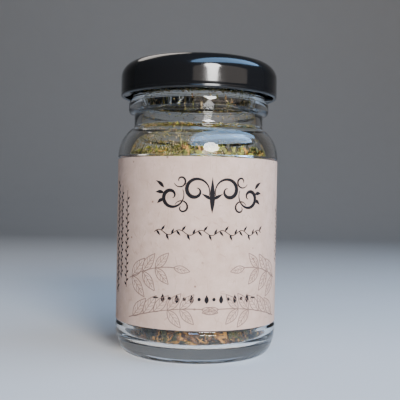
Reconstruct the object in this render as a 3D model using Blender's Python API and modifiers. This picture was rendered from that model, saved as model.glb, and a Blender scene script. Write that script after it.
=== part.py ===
"""Clear glass spice jar of dried tarragon, with a paper label and a black four-lug twist-off lid.

Metres, +Z up, the jar's axis on Z, the base at z = 0 and the label's front towards -Y.
"""

import math
import random

import bmesh
import bpy
from mathutils import Vector

MM = 0.001

# Driving sizes, in millimetres.
JAR_HEIGHT = 91.6        # to the sealing rim
BODY_RADIUS = 26.05      # glass just under the shoulder and over the heel
PANEL_RADIUS = 25.55     # shallow recess that takes the label
CAVITY_RADIUS = 23.1     # inside of the body
BORE_RADIUS = 18.6       # inside of the neck
CORNER_ROUND = 3.3       # inside corner between floor and wall
CORNER_CENTRE = CAVITY_RADIUS - CORNER_ROUND
CORNER_HEIGHT = 8.0
NECK_RADIUS = 21.0
BEAD_RADIUS = 22.86      # transfer ring under the lid
FINISH_RADIUS = 21.84    # glass wall inside the lid
STAND_RADIUS = 21.4      # middle of the flat ring that the jar stands on
PANEL_BOTTOM, PANEL_TOP = 10.2, 62.1

LABEL_RADIUS = 26.0
LABEL_THICK = 0.2
LABEL_BOTTOM, LABEL_TOP = 10.6, 61.8
LABEL_GAP_DEG = 24.0     # bare glass between the label's two ends, at the back

RIDGES = 4               # interrupted thread on the finish, and as many lugs on the lid
RIDGE_SPAN_DEG = 58.0
RIDGE_RADIUS = 23.3
RIDGE_UNDER = 83.4       # underside at the low end
RIDGE_THICK = 1.3
THREAD_RISE = 0.025      # millimetres for each degree of turn
LUG_SPAN_DEG = 22.0
LUG_FROM_RIDGE_END = 15.0
LUG_RADIUS = 22.3
LUG_BOTTOM, LUG_TOP = 82.3, 83.1

LID_TOP = 93.3
LID_BOTTOM = 82.1
LID_RADIUS = 25.46
LID_THICK = 0.45
LID_SHOULDER = 5.0
CURL_RADIUS = 0.62
PANEL_DROP = 0.3         # the lid's centre lies this far under its rim

SEAL_INNER, SEAL_OUTER = 18.9, 22.4
SEAL_BOTTOM, SEAL_TOP = 91.92, 92.5

HERB_GAP = 0.3
HERB_TOP = 63.1          # height of the fill beside its crown
SEED = 12

STEPS = 52               # sides of every turned piece


def clear_scene():
    for thing in list(bpy.data.objects):
        bpy.data.objects.remove(thing, do_unlink=True)


def new_collection(name, hidden=False):
    group = bpy.data.collections.new(name)
    bpy.context.scene.collection.children.link(group)
    group.hide_render = hidden
    return group


def material(name, colour, roughness, metallic=0.0, transmission=0.0):
    skin = bpy.data.materials.new(name)
    skin.use_nodes = True
    shader = skin.node_tree.nodes["Principled BSDF"]
    shader.inputs["Base Color"].default_value = (*colour, 1.0)
    shader.inputs["Roughness"].default_value = roughness
    shader.inputs["Metallic"].default_value = metallic
    shader.inputs["Transmission Weight"].default_value = transmission
    skin.diffuse_color = (*colour, 1.0)
    return skin


def ellipse(centre_r, centre_z, half_r, half_z, start_deg, end_deg, points):
    """Points of an elliptical arc in the profile plane, as (radius, height)."""
    found = []
    for i in range(points):
        a = math.radians(start_deg + (end_deg - start_deg) * i / (points - 1))
        found.append((centre_r + half_r * math.cos(a), centre_z + half_z * math.sin(a)))
    return found


def turned(name, profile, group, skin, closed=False):
    """A body turned round Z from a profile that runs down its outer side."""
    mesh = bpy.data.meshes.new(name)
    verts = [(r * MM, 0.0, z * MM) for r, z in profile]
    edges = [(i, i + 1) for i in range(len(verts) - 1)]
    if closed:
        edges.append((len(verts) - 1, 0))
    mesh.from_pydata(verts, edges, [])
    body = bpy.data.objects.new(name, mesh)
    group.objects.link(body)
    mesh.materials.append(skin)
    screw = body.modifiers.new("Turn", "SCREW")
    screw.axis = "Z"
    screw.angle = math.tau
    screw.steps = STEPS
    screw.render_steps = STEPS
    screw.use_merge_vertices = True
    screw.merge_threshold = 0.00005
    screw.use_normal_calculate = False
    return body


def apply_modifiers(body):
    """Replace the body's mesh by what its modifiers make of it."""
    bpy.context.view_layer.update()
    graph = bpy.context.evaluated_depsgraph_get()
    made = bpy.data.meshes.new_from_object(body.evaluated_get(graph), depsgraph=graph)
    made.name = body.name
    body.modifiers.clear()
    body.data = made


def face_outward(body):
    """Turn all faces of a closed body outward."""
    shape = bmesh.new()
    shape.from_mesh(body.data)
    bmesh.ops.recalc_face_normals(shape, faces=shape.faces)
    if shape.calc_volume(signed=True) < 0.0:
        bmesh.ops.reverse_faces(shape, faces=shape.faces)
    shape.to_mesh(body.data)
    shape.free()


def join_all(body, group):
    """One union of the body with every object of a collection, which is then removed."""
    union = body.modifiers.new("Join", "BOOLEAN")
    union.operation = "UNION"
    union.operand_type = "COLLECTION"
    union.collection = group
    union.solver = "MANIFOLD"
    apply_modifiers(body)
    for thing in list(group.objects):
        bpy.data.objects.remove(thing, do_unlink=True)
    bpy.data.collections.remove(group)


def solid(name, verts, faces, group, skin):
    mesh = bpy.data.meshes.new(name)
    mesh.from_pydata([Vector(v) * MM for v in verts], [], faces)
    mesh.materials.append(skin)
    body = bpy.data.objects.new(name, mesh)
    group.objects.link(body)
    face_outward(body)
    return body


def polar(radius, degrees, height):
    a = math.radians(degrees)
    return (radius * math.cos(a), radius * math.sin(a), height)


def arc_bar(name, sections, group, skin):
    """A bar round the axis: sections of (degrees, list of four (radius, height))."""
    verts = []
    faces = []
    for degrees, corners in sections:
        verts += [polar(r, degrees, z) for r, z in corners]
    last = 4 * (len(sections) - 1)
    for i in range(0, last, 4):
        for k in range(4):
            n = (k + 1) % 4
            faces.append((i + k, i + n, i + 4 + n, i + 4 + k))
    faces.append((3, 2, 1, 0))
    faces.append((last, last + 1, last + 2, last + 3))
    return solid(name, verts, faces, group, skin)


def cavity_profile():
    """The inside of the jar, from the floor's centre up to the rim."""
    floor = [(0.0, 5.4), (9.0, 5.2), (16.0, 4.8)]
    heel = ellipse(CORNER_CENTRE, CORNER_HEIGHT, CORNER_ROUND, CORNER_ROUND, -90.0, 0.0, 6)
    wall = [(CAVITY_RADIUS, 58.0), (CAVITY_RADIUS - 0.1, 61.0)]
    shoulder = ellipse(17.2, 61.0, 5.8, 9.0, 12.0, 64.0, 5)
    neck = [(19.0, 70.4), (BORE_RADIUS, 72.0), (BORE_RADIUS, 90.6)]
    return floor + heel + wall + shoulder + neck


def cavity_radius(height):
    """Inner radius of the jar at a height in its lower or middle part."""
    if height < CORNER_HEIGHT:
        drop = min(1.0, (CORNER_HEIGHT - height) / CORNER_ROUND)
        return CORNER_CENTRE + CORNER_ROUND * math.sqrt(1.0 - drop * drop)
    if height > 61.0:
        rise = min(1.0, (height - 61.0) / 9.0)
        return 17.2 + 5.8 * math.sqrt(1.0 - rise * rise)
    return CAVITY_RADIUS


def glass_jar(group, skin):
    rim = [(18.95, 91.3), (19.7, JAR_HEIGHT), (20.9, JAR_HEIGHT), (21.55, 91.2), (FINISH_RADIUS, 90.5)]
    bead = [(FINISH_RADIUS, 81.0), (22.5, 80.7), (BEAD_RADIUS, 79.9), (BEAD_RADIUS, 77.6), (22.4, 76.85)]
    neck = [(NECK_RADIUS, 76.4), (NECK_RADIUS, 72.8), (21.2, 71.9)]
    shoulder = ellipse(18.0, 62.5, BODY_RADIUS - 18.0, 10.4, 58.0, 0.0, 7)
    panel = [(PANEL_RADIUS, PANEL_TOP), (PANEL_RADIUS, PANEL_BOTTOM), (BODY_RADIUS, 9.4)]
    heel = ellipse(22.1, 8.8, BODY_RADIUS - 22.1, 8.7, -12.0, -80.0, 6)
    base = [(22.0, 0.0), (20.8, 0.0), (19.8, 0.5), (13.0, 1.7), (0.0, 2.2)]
    jar = turned("glass_jar", cavity_profile() + rim + bead + neck + shoulder + panel + heel + base, group, skin)
    apply_modifiers(jar)
    face_outward(jar)
    ridges = new_collection("thread ridges", hidden=True)
    for i in range(RIDGES):
        start = 360.0 / RIDGES * i
        sections = []
        for k in range(7):
            turn = RIDGE_SPAN_DEG * k / 6.0
            under = RIDGE_UNDER + THREAD_RISE * turn
            end = k in (0, 6)
            reach = RIDGE_RADIUS - (0.7 if end else 0.0)
            thick = RIDGE_THICK - (0.4 if end else 0.0)
            corners = [
                (21.0, under - 0.1),
                (reach, under),
                (reach, under + thick * 0.75),
                (21.0, under + thick + 0.35),
            ]
            sections.append((start + turn, corners))
        arc_bar("ridge", sections, ridges, skin)
    join_all(jar, ridges)
    return jar


def lid_shell(group, skin):
    top = [(0.0, LID_TOP - PANEL_DROP), (16.6, LID_TOP - PANEL_DROP), (17.6, LID_TOP)]
    outer = ellipse(LID_RADIUS - LID_SHOULDER, LID_TOP - LID_SHOULDER, LID_SHOULDER, LID_SHOULDER, 90.0, 0.0, 7)
    curl_r, curl_z = LID_RADIUS - CURL_RADIUS, LID_BOTTOM + CURL_RADIUS
    curl = ellipse(curl_r, curl_z, CURL_RADIUS, CURL_RADIUS, 0.0, -270.0, 8)
    within = LID_SHOULDER - LID_THICK
    inner = ellipse(LID_RADIUS - LID_SHOULDER, LID_TOP - LID_SHOULDER, within, within, 0.0, 90.0, 6)
    under = [(17.6, LID_TOP - LID_THICK), (16.6, LID_TOP - PANEL_DROP - LID_THICK)]
    centre = [(0.0, LID_TOP - PANEL_DROP - LID_THICK)]
    skirt_foot = [(LID_RADIUS - LID_THICK, LID_BOTTOM + 2.0 * CURL_RADIUS + 0.25)]
    lid = turned("lid_shell", top + outer + curl + skirt_foot + inner + under + centre, group, skin)
    apply_modifiers(lid)
    face_outward(lid)
    lugs = new_collection("lid lugs", hidden=True)
    for i in range(RIDGES):
        middle = 360.0 / RIDGES * i + LUG_FROM_RIDGE_END
        sections = []
        for k in range(5):
            turn = LUG_SPAN_DEG * (k / 4.0 - 0.5)
            inset = 0.9 if k in (0, 4) else 0.0
            corners = [
                (LUG_RADIUS + inset, LUG_BOTTOM + 0.15),
                (24.8, LUG_BOTTOM + 0.1),
                (24.8, LUG_TOP),
                (LUG_RADIUS + inset, LUG_TOP - 0.02),
            ]
            sections.append((middle + turn, corners))
        arc_bar("lug", sections, lugs, skin)
    join_all(lid, lugs)
    return lid


def lid_seal(group, skin):
    profile = [
        (SEAL_INNER, SEAL_TOP),
        (21.9, SEAL_TOP),
        (SEAL_OUTER, SEAL_TOP - 0.2),
        (SEAL_OUTER, SEAL_BOTTOM + 0.1),
        (SEAL_OUTER - 0.2, SEAL_BOTTOM),
        (SEAL_INNER + 0.2, SEAL_BOTTOM),
        (SEAL_INNER, SEAL_BOTTOM + 0.15),
    ]
    seal = turned("lid_seal", profile, group, skin, closed=True)
    apply_modifiers(seal)
    face_outward(seal)
    return seal


def paper_label(group, skin):
    """A strip of paper round the panel, open at the back."""
    mesh = bpy.data.meshes.new("paper_label")
    columns = 60
    start = 90.0 + LABEL_GAP_DEG / 2.0
    span = 360.0 - LABEL_GAP_DEG
    verts = []
    for z in (LABEL_BOTTOM, LABEL_TOP):
        for i in range(columns + 1):
            verts.append(Vector(polar(LABEL_RADIUS, start + span * i / columns, z)) * MM)
    width = columns + 1
    faces = [(i, i + 1, i + 1 + width, i + width) for i in range(columns)]
    mesh.from_pydata(verts, [], faces)
    mesh.materials.append(skin)
    label = bpy.data.objects.new("paper_label", mesh)
    group.objects.link(label)
    shell = label.modifiers.new("Paper", "SOLIDIFY")
    shell.thickness = LABEL_THICK * MM
    shell.offset = -1.0
    shell.use_rim = True
    apply_modifiers(label)
    face_outward(label)
    return label


def herb_surface(x, y):
    """Height of the heap: a little higher on the right and towards the back."""
    wave = 0.3 * math.sin(0.31 * x + 0.9) + 0.25 * math.sin(0.27 * y - 0.4) + 0.2 * math.sin(0.5 * (x + y))
    crown = 1.1 * math.exp(-((x + 2.0) ** 2) / 90.0)
    return HERB_TOP + 0.02 * x + crown + wave


def herb_core(group, skin):
    """The packed middle of the fill, a little smaller than the jar's cavity."""
    around = 40
    under = [(9.0, 5.6), (16.0, 5.2), (19.8, 5.1), (21.2, 5.6), (22.0, 6.7), (22.25, 9.0)]
    sides = [(22.25, 24.0), (22.25, 36.0), (22.25, 48.0), (22.1, 58.5)]
    top = [20.6, 15.0, 9.0, 4.0]
    verts = [(0.0, 0.0, 5.8)]
    rows = []
    for r, z in under + sides:
        rows.append(len(verts))
        for i in range(around):
            wobble = 0.12 * math.sin(3.0 * i + z) if r > 22.0 else 0.0
            verts.append(polar(r + wobble, 360.0 * i / around, z))
    for r in top:
        rows.append(len(verts))
        for i in range(around):
            x, y, _ = polar(r, 360.0 * i / around, 0.0)
            verts.append((x, y, herb_surface(x, y) - (0.8 if r > 20.0 else 0.0)))
    verts.append((0.0, 0.0, herb_surface(0.0, 0.0)))
    faces = []
    for i in range(around):
        n = (i + 1) % around
        faces.append((0, rows[0] + n, rows[0] + i))
        for low, high in zip(rows, rows[1:]):
            faces.append((low + i, low + n, high + n))
            faces.append((low + i, high + n, high + i))
        faces.append((rows[-1] + i, rows[-1] + n, len(verts) - 1))
    return solid("dried_tarragon", verts, faces, group, skin)


def leaf_shape(length, width, fold, arch, draw):
    """A dried leaf scrap as points (along, across, up): three four-sided rings and two tips."""
    half = length / 2.0
    skew = draw.uniform(-0.25, 0.25) * width
    points = [(-half, 0.0, -arch)]
    for t, share in ((0.24, 0.82), (0.52, 1.0), (0.78, 0.7)):
        along = -half + length * t
        w = width / 2.0 * share
        up = -arch * (2.0 * t - 1.0) ** 2
        shift = skew * math.sin(math.pi * t)
        points.append((along, shift - w, up + fold * w))
        points.append((along, shift, up + 0.36))
        points.append((along, shift + w, up + fold * w))
        points.append((along, shift, up - 0.36))
    points.append((half, 0.0, -arch))
    faces = []
    for k in range(4):
        n = (k + 1) % 4
        faces.append((0, 1 + n, 1 + k))
        for ring in (1, 5):
            faces.append((ring + k, ring + n, ring + 4 + n))
            faces.append((ring + k, ring + 4 + n, ring + 4 + k))
        faces.append((9 + k, 9 + n, 13))
    return points, faces


def stalk_shape(length, draw):
    """A bit of stem as points (along, across, up): a three-sided bar."""
    half = length / 2.0
    bow = draw.uniform(-0.4, 0.4)
    points = []
    for along, shift in ((-half, 0.0), (0.0, bow), (half, 0.0)):
        for k in range(3):
            a = math.tau * k / 3.0 + 0.5
            points.append((along, shift + 0.45 * math.cos(a), 0.45 * math.sin(a)))
    faces = [(2, 1, 0), (6, 7, 8)]
    for ring in (0, 3):
        for k in range(3):
            n = (k + 1) % 3
            faces.append((ring + k, ring + n, ring + 3 + n))
            faces.append((ring + k, ring + 3 + n, ring + 3 + k))
    return points, faces


def scrap(draw):
    if draw.random() < 0.16:
        return stalk_shape(draw.uniform(4.0, 7.5), draw)
    length = draw.uniform(4.2, 8.0)
    width = draw.uniform(1.5, 2.7)
    return leaf_shape(length, width, draw.uniform(0.1, 0.5), draw.uniform(-0.2, 0.5), draw)


def wall_scrap(height, group, skin, draw):
    """A scrap that lies against the glass and follows its curve."""
    points, faces = scrap(draw)
    heading = draw.uniform(0.0, math.pi)
    lean = draw.uniform(-0.07, 0.07)
    sink = draw.uniform(0.0, 0.25)
    place = draw.uniform(0.0, 360.0)
    reach = max(up + lean * along for along, _, up in points)
    verts = []
    for along, across, up in points:
        side = along * math.cos(heading) - across * math.sin(heading)
        rise = along * math.sin(heading) + across * math.cos(heading)
        z = max(height + rise, 5.4 + 0.1 * up)
        depth = reach - (up + lean * along)
        r = cavity_radius(z) - HERB_GAP - 0.04 - sink - depth
        verts.append(polar(r, place + math.degrees(side / 22.5), z))
    solid("scrap", verts, faces, group, skin)


def top_scrap(x, y, group, skin, draw):
    """A scrap that lies on the heap, tilted at random, its middle in the heap."""
    points, faces = scrap(draw)
    heading = draw.uniform(0.0, math.tau)
    pitch = draw.uniform(-0.42, 0.42)
    bank = draw.uniform(-0.5, 0.5)
    ground = herb_surface(x, y) + draw.uniform(-0.15, 0.3)
    verts = []
    for along, across, up in points:
        px = x + along * math.cos(heading) - across * math.sin(heading)
        py = y + along * math.sin(heading) + across * math.cos(heading)
        pz = ground + up + along * pitch + across * bank
        limit = cavity_radius(pz) - HERB_GAP - 0.1
        r = math.hypot(px, py)
        if r > limit:
            px *= limit / r
            py *= limit / r
        verts.append((px, py, pz))
    solid("scrap", verts, faces, group, skin)


def dried_tarragon(group, skin):
    draw = random.Random(SEED)
    herb = herb_core(group, skin)
    scraps = new_collection("herb scraps", hidden=True)
    for _ in range(38):
        wall_scrap(draw.uniform(6.6, 13.0), scraps, skin, draw)
    for _ in range(10):
        wall_scrap(draw.uniform(14.0, 56.0), scraps, skin, draw)
    for _ in range(22):
        wall_scrap(draw.uniform(58.0, 62.2), scraps, skin, draw)
    count = 60
    for i in range(count):
        r = 19.4 * math.sqrt((i + 0.5) / count)
        a = 137.508 * i + draw.uniform(-9.0, 9.0)
        x, y, _ = polar(r, a, 0.0)
        top_scrap(x, y, scraps, skin, draw)
    join_all(herb, scraps)
    drop_loose(herb)
    return herb


def drop_loose(body):
    """Keep the largest connected piece of a body, and drop scraps that missed it."""
    shape = bmesh.new()
    shape.from_mesh(body.data)
    left = set(shape.verts)
    islands = []
    while left:
        island = set()
        queue = [left.pop()]
        while queue:
            vert = queue.pop()
            island.add(vert)
            for edge in vert.link_edges:
                other = edge.other_vert(vert)
                if other in left:
                    left.remove(other)
                    queue.append(other)
        islands.append(island)
    islands.sort(key=len, reverse=True)
    for island in islands[1:]:
        bmesh.ops.delete(shape, geom=list(island), context="VERTS")
    bmesh.ops.triangulate(shape, faces=shape.faces)
    shape.to_mesh(body.data)
    shape.free()


def main():
    clear_scene()
    parts = new_collection("spice jar of dried tarragon")
    glass = material("clear glass", (0.92, 0.95, 0.93), 0.05, transmission=1.0)
    paper = material("kraft label paper", (0.72, 0.60, 0.53), 0.8)
    leaf = material("dried tarragon leaf", (0.32, 0.30, 0.12), 0.85)
    lacquer = material("black lacquered tinplate", (0.01, 0.01, 0.012), 0.2)
    plastisol = material("white plastisol", (0.75, 0.74, 0.7), 0.6)
    glass_jar(parts, glass)
    paper_label(parts, paper)
    dried_tarragon(parts, leaf)
    lid_shell(parts, lacquer)
    lid_seal(parts, plastisol)


main()
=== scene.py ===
"""Looks of a clear glass spice jar of dried tarragon: glass, label, fill, lid, seal and stage."""

import math
import random

import bpy
import numpy as np
from bpy.props import FloatProperty, FloatVectorProperty, IntProperty, PointerProperty
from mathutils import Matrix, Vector


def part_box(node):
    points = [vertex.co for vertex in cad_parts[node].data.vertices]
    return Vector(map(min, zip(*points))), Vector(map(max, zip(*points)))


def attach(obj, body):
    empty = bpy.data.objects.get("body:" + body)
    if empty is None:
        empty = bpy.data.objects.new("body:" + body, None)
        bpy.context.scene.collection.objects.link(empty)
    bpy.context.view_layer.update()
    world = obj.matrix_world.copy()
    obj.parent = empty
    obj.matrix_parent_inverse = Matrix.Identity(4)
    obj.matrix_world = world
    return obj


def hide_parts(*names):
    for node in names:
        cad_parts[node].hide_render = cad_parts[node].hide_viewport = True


bl_info = {
    "name": "Spice jar of dried tarragon",
    "version": (1, 0, 0),
    "blender": (4, 5, 0),
    "location": "3D View > Sidebar > Spice Jar",
    "description": "Builds the glass, label, herb fill, lid and stage of a spice jar",
    "category": "Add Mesh",
}

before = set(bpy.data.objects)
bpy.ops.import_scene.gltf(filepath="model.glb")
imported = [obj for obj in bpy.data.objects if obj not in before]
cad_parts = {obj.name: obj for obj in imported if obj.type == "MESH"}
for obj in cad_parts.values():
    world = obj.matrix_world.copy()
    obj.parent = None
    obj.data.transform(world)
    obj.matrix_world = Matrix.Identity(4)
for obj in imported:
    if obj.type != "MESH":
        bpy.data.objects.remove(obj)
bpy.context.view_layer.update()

MM = 0.001


def box_mm(node):
    """Lowest and highest corner of a CAD node, in millimetres."""
    return [[round(float(value) / MM, 2) for value in corner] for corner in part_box(node)]


# Sizes from the frame: radii from the axis and heights above the base, in millimetres
GLASS_BOX = box_mm("glass_jar")
LABEL_BOX = box_mm("paper_label")
LID_BOX = box_mm("lid_shell")
SEAL_BOX = box_mm("lid_seal")
BODY_R = GLASS_BOX[1][0]
RIM_TOP = GLASS_BOX[1][2]
LABEL_R = -LABEL_BOX[0][1]
LABEL_LOW = LABEL_BOX[0][2]
LABEL_HIGH = LABEL_BOX[1][2]
LID_R = LID_BOX[1][0]
LID_TOP = LID_BOX[1][2]

# The outside of the glass
HEEL_R = 22.1
HEEL_Z = 8.8
STAND_OUT_R = 22.0
STAND_IN_R = 20.8
PUSH_UP = 2.2
PANEL_R = 25.55
PANEL_LOW = 10.2
PANEL_HIGH = 62.1
SHOULDER_R = 18.0
SHOULDER_Z = 62.5
SHOULDER_RISE = 10.4
NECK_R = 21.0
BEAD_R = 22.86
FINISH_R = 21.84
THREAD_LOW = 82.4
THREAD_HIGH = 87.8
RIDGES = 4
RIDGE_DEG = 58.0
RIDGE_OUT = 1.4
RIDGE_Z = 83.4
RIDGE_CLIMB_PER_DEG = 0.025

# The inside of the glass
FLOOR_Z = 5.4
CAVITY_R = 23.1
CAVITY_HEEL = 3.3
CAVITY_HEEL_Z = 8.0
CAVITY_SHOULDER_R = 17.2
CAVITY_SHOULDER_Z = 61.0
CAVITY_SHOULDER_OUT = 5.8
CAVITY_SHOULDER_RISE = 9.0
BORE_R = 18.6

# The label and its print
LABEL_IN = 25.8
LABEL_GAP_DEG = 24.0
LABEL_EDGE = 0.03
INK_OUT_R = LABEL_R + 0.028
INK_IN_R = LABEL_R - 0.028
SCROLL_Z = 50.6
VINE_Z = 39.4
VINE_LENGTH = 35.2
LOZENGE_Z = 19.9
GARLAND_Z = 13.0
GARLAND_LINE = 0.22

# The herb
HERB_FLOOR = 5.0
HERB_TOP = 63.1
GOLDEN_ANGLE = 2.39996

# The lid
LID_ROUND = 5.0
LID_SHEET = 0.45
LID_SUNK = 0.3
LID_SUNK_R = 16.4
LID_RING_R = 17.6
CURL_R = 0.62
CURL_Z = 82.72
LUGS = 4
LUG_DEPTH = 1.9
LUG_DEG = 22.0
LUG_SIDES = 10
SEAL_R = 20.65

# The stage, in millimetres
STAGE_HALF = 4000.0
SWEEP_START = 700.0
SWEEP_R = 500.0
BACKDROP_TOP = 1600.0


# Shapes


def ellipse(centre_r, centre_z, half_r, half_z, start_deg, end_deg, points):
    """Points of an elliptical arc in a profile, as (radius, height) in millimetres."""
    turns = np.radians(np.linspace(start_deg, end_deg, points))
    return [(centre_r + half_r * math.cos(a), centre_z + half_z * math.sin(a)) for a in turns]


def rounded(points, cut, passes):
    """Round a profile's corners, leaving its straight runs in place."""
    path = [points[0]]
    for a, b in zip(points, points[1:]):
        length = math.dist(a, b)
        if length > 2.5 * cut:
            for t in (cut / length, 1.0 - cut / length):
                path.append((a[0] + (b[0] - a[0]) * t, a[1] + (b[1] - a[1]) * t))
        path.append(b)
    for _ in range(passes):
        smooth = [path[0]]
        for a, b in zip(path, path[1:]):
            smooth.append((0.75 * a[0] + 0.25 * b[0], 0.75 * a[1] + 0.25 * b[1]))
            smooth.append((0.25 * a[0] + 0.75 * b[0], 0.25 * a[1] + 0.75 * b[1]))
        smooth.append(path[-1])
        path = smooth
    return path


def distance_off(point, a, b):
    """Distance of a point from the line through a and b."""
    run = math.dist(a, b)
    if run == 0.0:
        return 0.0
    return abs((b[0] - a[0]) * (a[1] - point[1]) - (a[0] - point[0]) * (b[1] - a[1])) / run


def thinned(points, slack=0.002, longest=3.0):
    """Leave out the points of a profile that lie within slack of a straight run."""
    kept = [points[0]]
    skipped = []
    for point, after in zip(points[1:], points[2:]):
        waiting = skipped + [point]
        off = max(distance_off(q, kept[-1], after) for q in waiting)
        if off > slack or math.dist(kept[-1], after) > longest:
            kept.append(point)
            skipped = []
        else:
            skipped = waiting
    return kept + [points[-1]]


def rows_between(r, start, end, step):
    """Points along a straight wall, close enough for relief."""
    count = max(2, int(abs(end - start) / step))
    return [(r, start + (end - start) * i / count) for i in range(count + 1)]


def mesh_object(name, verts, faces, materials, slots=None, smooth=True):
    """An object from points in millimetres, linked to the scene."""
    mesh = bpy.data.meshes.new(name)
    mesh.from_pydata((np.asarray(verts, dtype=float) * MM).tolist(), [], faces)
    for skin in materials:
        mesh.materials.append(skin)
    if slots is not None:
        mesh.polygons.foreach_set("material_index", slots)
    mesh.polygons.foreach_set("use_smooth", [smooth] * len(mesh.polygons))
    mesh.update()
    body = bpy.data.objects.new(name, mesh)
    bpy.context.scene.collection.objects.link(body)
    return body


def ring_faces(low, high, around):
    """Faces between two rings of points, which start at the numbers low and high."""
    faces = []
    for k in range(around):
        n = (k + 1) % around
        faces.append((low + k, high + k, high + n, low + n))
    return faces


def turned(name, profile, around, skin, relief=None, closed=False):
    """A turned body. Relief moves (radius, angle, height); a closed profile makes a ring."""
    inner = profile if closed else profile[1:-1]
    rows = len(inner)
    turn = np.linspace(0.0, math.tau, around, endpoint=False)
    grid_r = np.repeat(np.array([p[0] for p in inner])[:, None], around, axis=1)
    grid_z = np.repeat(np.array([p[1] for p in inner])[:, None], around, axis=1)
    grid_a = np.repeat(turn[None, :], rows, axis=0)
    if relief is not None:
        grid_r, grid_z = relief(grid_r, grid_a, grid_z)
    verts = np.stack([grid_r * np.cos(grid_a), grid_r * np.sin(grid_a), grid_z], axis=2).reshape(-1, 3)
    faces = []
    for i in range(rows if closed else rows - 1):
        faces += ring_faces(i * around, ((i + 1) % rows) * around, around)
    if not closed:
        first = len(verts)
        verts = np.vstack([verts, (0.0, 0.0, profile[0][1]), (0.0, 0.0, profile[-1][1])])
        last_ring = (rows - 1) * around
        for k in range(around):
            n = (k + 1) % around
            faces.append((first, k, n))
            faces.append((first + 1, last_ring + n, last_ring + k))
    return mesh_object(name, verts, faces, [skin])


def step_up(value, low, high):
    """A smooth step from 0 at low to 1 at high."""
    t = np.clip((value - low) / (high - low), 0.0, 1.0)
    return t * t * (3.0 - 2.0 * t)


def cavity_radius(height):
    """Inner radius of the jar at a height, in millimetres."""
    if height < CAVITY_HEEL_Z:
        drop = min(1.0, (CAVITY_HEEL_Z - height) / CAVITY_HEEL)
        return CAVITY_R - CAVITY_HEEL + CAVITY_HEEL * math.sqrt(1.0 - drop * drop)
    if height > CAVITY_SHOULDER_Z:
        rise = min(0.97, (height - CAVITY_SHOULDER_Z) / CAVITY_SHOULDER_RISE)
        return CAVITY_SHOULDER_R + CAVITY_SHOULDER_OUT * math.sqrt(1.0 - rise * rise)
    return CAVITY_R


def herb_surface(x, y):
    """Height of the heap, in millimetres."""
    wave = 0.3 * math.sin(0.31 * x + 0.9) + 0.25 * math.sin(0.27 * y - 0.4) + 0.2 * math.sin(0.5 * (x + y))
    crown = 1.1 * math.exp(-((x + 2.0) ** 2) / 90.0)
    return HERB_TOP + 0.02 * x + crown + wave


# Finishes


def toned(colour, *factors):
    """A colour times one factor, or times one for each channel."""
    if len(factors) == 1:
        factors = factors * 3
    return tuple(min(1.0, c * f) for c, f in zip(colour, factors))


class Nodes:
    """Short calls for building one material's node tree."""

    def __init__(self, name):
        self.material = bpy.data.materials.new(name)
        self.material.use_nodes = True
        self.tree = self.material.node_tree
        self.shader = self.tree.nodes["Principled BSDF"]
        self.out = self.tree.nodes["Material Output"]

    def feed(self, socket, value):
        """Link a socket to another node's output, or set it to a constant."""
        if isinstance(value, bpy.types.NodeSocket):
            self.tree.links.new(value, socket)
        elif socket.type == "RGBA":
            socket.default_value = (*value[:3], 1.0)
        else:
            socket.default_value = value

    def add(self, kind, inputs=None, **values):
        """A new node with its properties set and its named inputs fed."""
        node = self.tree.nodes.new(kind)
        for key, value in values.items():
            setattr(node, key, value)
        for key, value in (inputs or {}).items():
            self.feed(node.inputs[key], value)
        return node

    def surface(self, **values):
        """Feed the shader's sockets, named in lower case with underscores."""
        sockets = {socket.name.lower().replace(" ", "_"): socket for socket in self.shader.inputs}
        for name, value in values.items():
            self.feed(sockets[name], value)

    def place(self, scale=(1.0, 1.0, 1.0)):
        """The place on the object, in metres, stretched where scale is below 1."""
        coord = self.add("ShaderNodeTexCoord")
        inputs = {"Vector": coord.outputs["Object"], "Scale": scale}
        return self.add("ShaderNodeMapping", inputs).outputs["Vector"]

    def noise(self, vector, scale, detail=4.0, rough=0.5):
        inputs = {"Vector": vector, "Scale": scale, "Detail": detail, "Roughness": rough}
        return self.add("ShaderNodeTexNoise", inputs).outputs["Fac"]

    def cells(self, vector, scale, feature="F1"):
        return self.add("ShaderNodeTexVoronoi", {"Vector": vector, "Scale": scale}, feature=feature)

    def span(self, value, low, high, to_low=0.0, to_high=1.0):
        """Carry a value from one range to another."""
        inputs = {"Value": value, "From Min": low, "From Max": high, "To Min": to_low, "To Max": to_high}
        return self.add("ShaderNodeMapRange", inputs).outputs["Result"]

    def maths(self, operation, a, b):
        node = self.add("ShaderNodeMath", operation=operation)
        for socket, value in zip(node.inputs, (a, b)):
            self.feed(socket, value)
        return node.outputs[0]

    def mix(self, fac, a, b):
        node = self.add("ShaderNodeMix", {"Factor": fac}, data_type="RGBA")
        colours = [s for s in node.inputs if s.type == "RGBA"]
        for socket, value in zip(colours, (a, b)):
            self.feed(socket, value)
        return [s for s in node.outputs if s.type == "RGBA"][0]

    def bump(self, height, strength, distance):
        inputs = {"Height": height, "Strength": strength, "Distance": distance}
        self.surface(normal=self.add("ShaderNodeBump", inputs).outputs["Normal"])

    def let_light_through(self):
        """Glass that casts no black shadow."""
        path = self.add("ShaderNodeLightPath")
        clear = self.add("ShaderNodeBsdfTransparent")
        blend = self.add("ShaderNodeMixShader")
        sources = (path.outputs["Is Shadow Ray"], self.shader.outputs[0], clear.outputs[0])
        for socket, source in zip(blend.inputs, sources):
            self.feed(socket, source)
        self.feed(self.out.inputs["Surface"], blend.outputs[0])


def glass_finish(tint):
    """Clear moulded glass whose walls are faintly wavy."""
    glass = Nodes("clear_glass")
    glass.surface(base_color=tint, roughness=0.004, transmission_weight=1.0, ior=1.5)
    place = glass.place((1.0, 1.0, 0.5))
    glass.bump(glass.noise(place, 90.0, detail=1.5), 0.09, 0.0006)
    glass.let_light_through()
    return glass.material


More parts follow.
